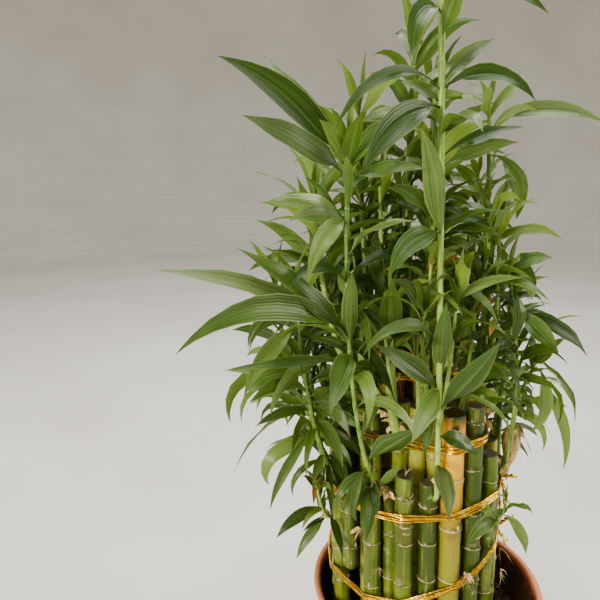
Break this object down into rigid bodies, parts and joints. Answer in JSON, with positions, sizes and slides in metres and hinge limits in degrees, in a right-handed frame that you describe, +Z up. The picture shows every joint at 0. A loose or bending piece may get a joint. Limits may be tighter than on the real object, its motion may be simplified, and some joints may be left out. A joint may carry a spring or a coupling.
{
  "type": "potted lucky bamboo",
  "caption": "Leafy houseplant of upright green canes in rising rings, held by gold ties and rooted in a clay pot; it stands on the pot's flat underside.",
  "frame": {"origin": "centre of the pot's flat underside, on the surface it stands on", "axes": "+Z up along the pot's axis; -Y is the side with the tall front shoot and the open view of the canes; +X is to the right of that view"},
  "size_m": [0.4161, 0.4183, 0.9072],
  "materials": {
    "clay": "fired terracotta, smooth outside, dirt-stained inside",
    "potting_soil": "damp dark potting soil, crumbly",
    "gold_foil": "crinkled gold foil strands, worn dark in places",
    "dry_husk": "dry papery husk",
    "dead_cane": "dead fibrous brown cane",
    "yellow_cane": "satin yellow cane",
    "green_cane": "satin green cane with pale node rings",
    "young_stem": "satin light green stem",
    "leaves": "glossy green blades"
  },
  "bodies": {
    "root": {"bough_left_low": "young_stem", "bough_right_tall": "young_stem", "bough_thick": "young_stem", "cane_dead": "dead_cane", "cane_front_1": "green_cane", "cane_front_2": "green_cane", "cane_front_3": "green_cane", "cane_front_4": "green_cane", "cane_front_5": "green_cane", "cane_front_6_yellow": "yellow_cane", "cane_front_7": "green_cane", "cane_front_8": "green_cane", "cane_front_9": "green_cane", "cane_front_shaded": "green_cane", "cane_right_husked": "green_cane", "canes_back_left": "green_cane", "canes_back_right": "green_cane", "canes_core": "green_cane", "canes_left": "green_cane", "canes_right": "green_cane", "canes_second_back": "green_cane", "canes_second_front": "green_cane", "canes_second_left": "green_cane", "canes_second_right": "green_cane", "canes_third_back": "green_cane", "canes_third_front": "green_cane", "husk": "dry_husk", "mass_crown_back_1": "leaves", "mass_crown_back_2": "leaves", "mass_crown_back_3": "leaves", "mass_crown_back_4": "leaves", "mass_crown_core": "leaves", "mass_crown_left_1": "leaves", "mass_crown_left_2": "leaves", "mass_crown_right_1": "leaves", "mass_crown_second_1": "leaves", "mass_crown_second_2": "leaves", "mass_crown_second_3": "leaves", "mass_crown_second_4": "leaves", "mass_crown_third_1": "leaves", "mass_crown_third_2": "leaves", "mass_crown_third_3": "leaves", "mass_husk_shoot": "leaves", "mass_left_foot_shoot": "leaves", "mass_left_low_shoot": "leaves", "mass_left_shoot": "leaves", "mass_main_shoot": "leaves", "mass_right_foot_shoot": "leaves", "mass_right_front_shoot": "leaves", "mass_right_pale_shoot": "leaves", "mass_right_tall_shoot": "leaves", "mass_thick_shoot": "leaves", "pot": "clay", "soil": "potting_soil", "tie_low": "gold_foil", "tie_middle": "gold_foil", "tie_top": "gold_foil", "tie_upper": "gold_foil"}
  },
  "joints": []
}
